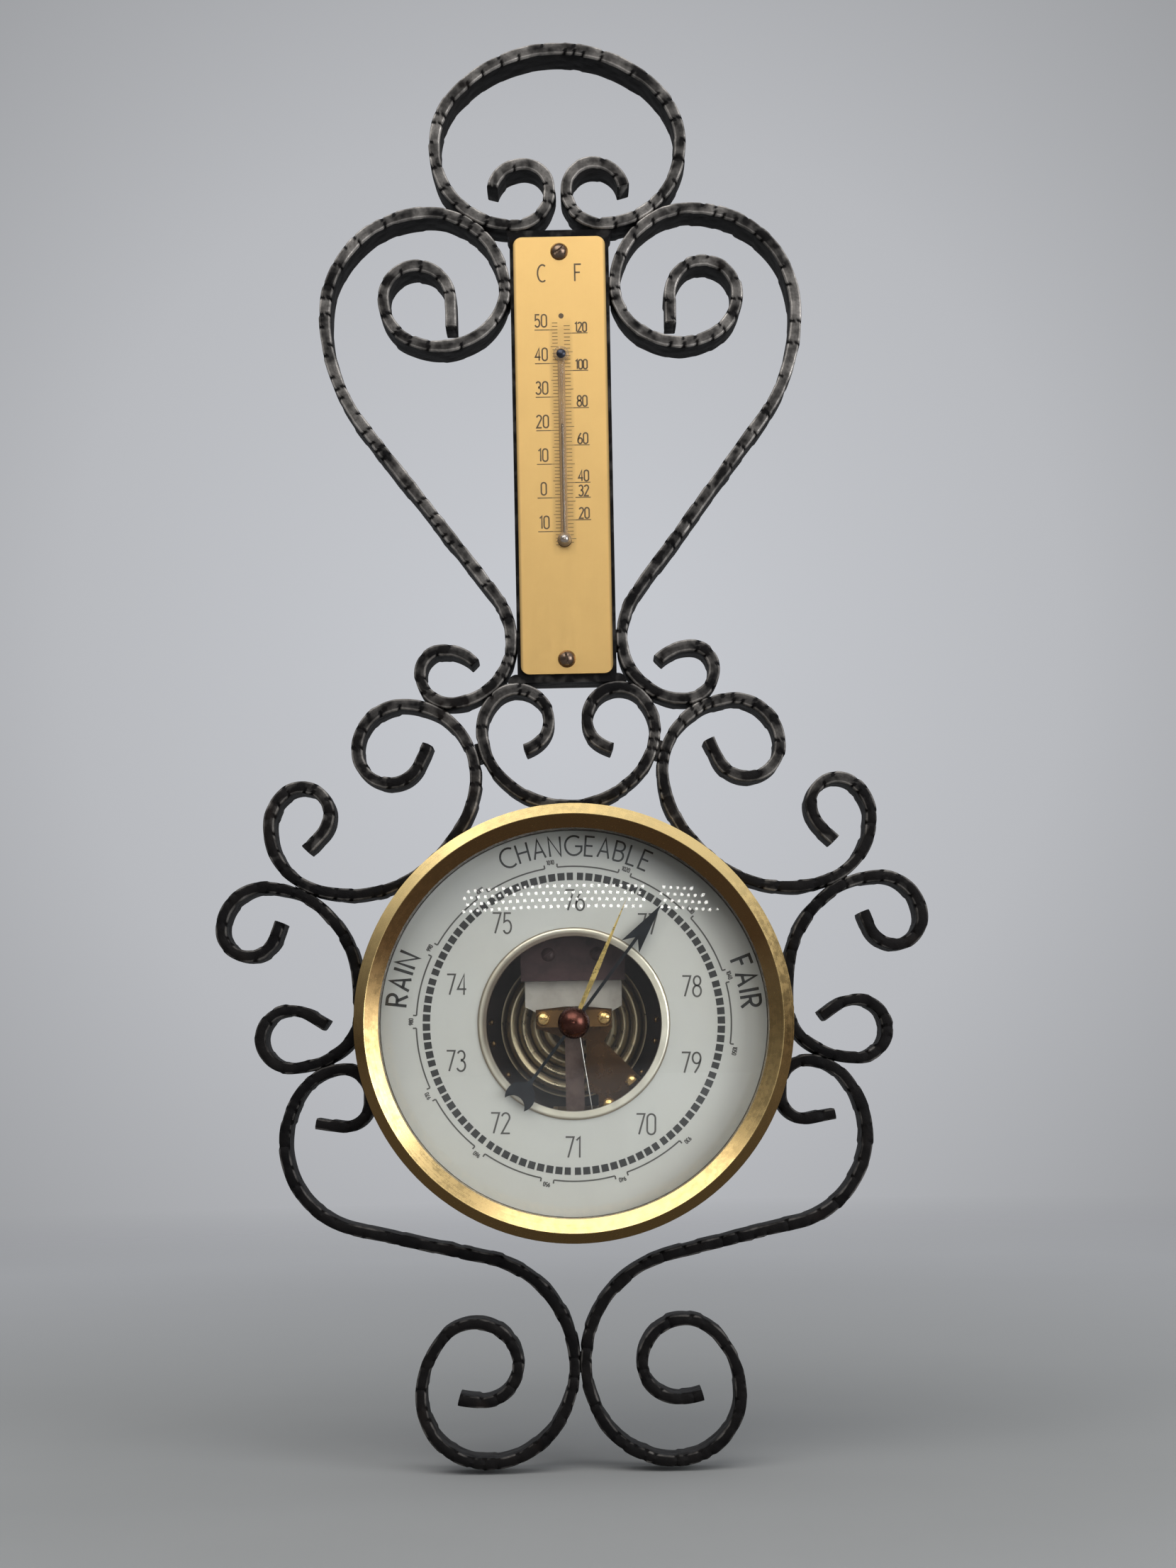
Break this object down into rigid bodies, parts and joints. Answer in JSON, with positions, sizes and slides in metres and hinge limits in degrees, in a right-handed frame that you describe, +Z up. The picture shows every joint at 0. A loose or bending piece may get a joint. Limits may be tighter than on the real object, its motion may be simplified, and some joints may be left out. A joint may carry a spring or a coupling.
{
  "type": "weather station",
  "caption": "Wall weather station: scrolled wrought-iron frame carrying a thermometer above a round open-dial aneroid barometer with pressure hand and set hand.",
  "frame": {"origin": "on the dial's axis, in the plane of the wall: the centre of the case drum's flat back", "axes": "+Z up along the thermometer, -Y out of the wall towards the viewer, +X to the viewer's right"},
  "size_m": [0.2006, 0.0448, 0.4029],
  "materials": {
    "wrought_iron": "hammered, blackened with worn grey edges",
    "polished_brass": "polished, slightly aged",
    "dull_brass": "dull, tarnished",
    "steel": "satin",
    "blued_steel": "blued",
    "black_paint": "satin black",
    "dark_metal": "dark brown lacquer, satin",
    "copper_brown": "browned, satin",
    "printed_dial": "matt off-white print",
    "clear_glass": "clear",
    "mercury": "liquid metal",
    "gasket": "matt black"
  },
  "bodies": {
    "case": {"top_arch": "wrought_iron", "heart_scroll_left": "wrought_iron", "heart_scroll_right": "wrought_iron", "lyre_scroll": "wrought_iron", "shoulder_scroll_left": "wrought_iron", "shoulder_scroll_right": "wrought_iron", "side_scroll_left": "wrought_iron", "side_scroll_right": "wrought_iron", "base_scroll_left": "wrought_iron", "base_scroll_right": "wrought_iron", "case_hoop": "wrought_iron", "weld_beads": "wrought_iron", "thermometer_backing": "wrought_iron", "scale_plate": "polished_brass", "plate_screws": "dull_brass", "glass_tube": "clear_glass", "tube_pin": "blued_steel", "mercury_bulb": "mercury", "case_drum": "dull_brass", "case_screws": "blued_steel", "bezel": "polished_brass", "crystal": "clear_glass", "crystal_gasket": "gasket", "crystal_bushing": "polished_brass", "dial_plate": "printed_dial", "dial_rim": "polished_brass", "base_plate": "dark_metal", "base_rivets": "dull_brass", "lower_diaphragm": "polished_brass", "upper_diaphragm": "polished_brass", "capsule_foot": "steel", "main_spring": "steel", "spring_bracket": "dark_metal", "spring_screws": "dark_metal", "rocker_bracket": "dull_brass", "chain": "steel", "movement_arm": "copper_brown", "arm_pillars": "polished_brass", "arm_screws": "polished_brass", "arbor_bridge": "copper_brown", "bridge_screws": "polished_brass", "hairspring": "blued_steel"},
    "lever": {"capsule_stem": "steel", "lever_strap": "steel", "link_rod": "steel"},
    "rocker": {"rocker_shaft": "steel", "rocker_arm": "dull_brass", "rocker_crank": "dull_brass"},
    "hand": {"hand_arbor": "steel", "chain_drum": "polished_brass", "pressure_hand": "black_paint", "hand_boss": "dull_brass"},
    "set_pointer": {"set_hand": "polished_brass", "set_stem": "polished_brass", "set_knob": "copper_brown"},
    "adjuster": {"adjusting_screw": "steel"},
    "mercury": {"mercury_thread": "mercury"}
  },
  "joints": [
    {"name": "pressure_hand_turn", "type": "hinge", "parent": "case", "child": "hand", "pos_m": [0, -0.022, 0], "axis": [0, 1, 0], "range_deg": [-253, 70], "deforming": ["chain", "hairspring"]},
    {"name": "rocker_turn", "type": "hinge", "parent": "case", "child": "rocker", "pos_m": [0, -0.008, -0.026], "axis": [1, 0, 0], "range_deg": [-20, 6]},
    {"name": "lever_tilt", "type": "hinge", "parent": "case", "child": "lever", "pos_m": [0, -0.0149, 0.0124], "axis": [1, 0, 0], "range_deg": [-2, 0.6], "deforming": ["main_spring", "upper_diaphragm"]},
    {"name": "set_hand_turn", "type": "hinge", "parent": "case", "child": "set_pointer", "pos_m": [0, -0.036, 0], "axis": [0, 1, 0], "continuous": true},
    {"name": "adjusting_screw_turn", "type": "hinge", "parent": "case", "child": "adjuster", "pos_m": [0, -0.002, 0.0245], "axis": [0, -1, 0], "range_deg": [-360, 360]},
    {"name": "mercury_rise", "type": "slide", "parent": "case", "child": "mercury", "axis": [0, 0, 1], "range_m": [-0.0302, 0.0136], "deforming": ["mercury_thread"]}
  ],
  "couplings": [
    {"joint": "rocker_turn", "follows": "pressure_hand_turn", "ratio": 0.07807},
    {"joint": "lever_tilt", "follows": "pressure_hand_turn", "ratio": 0.007365}
  ]
}
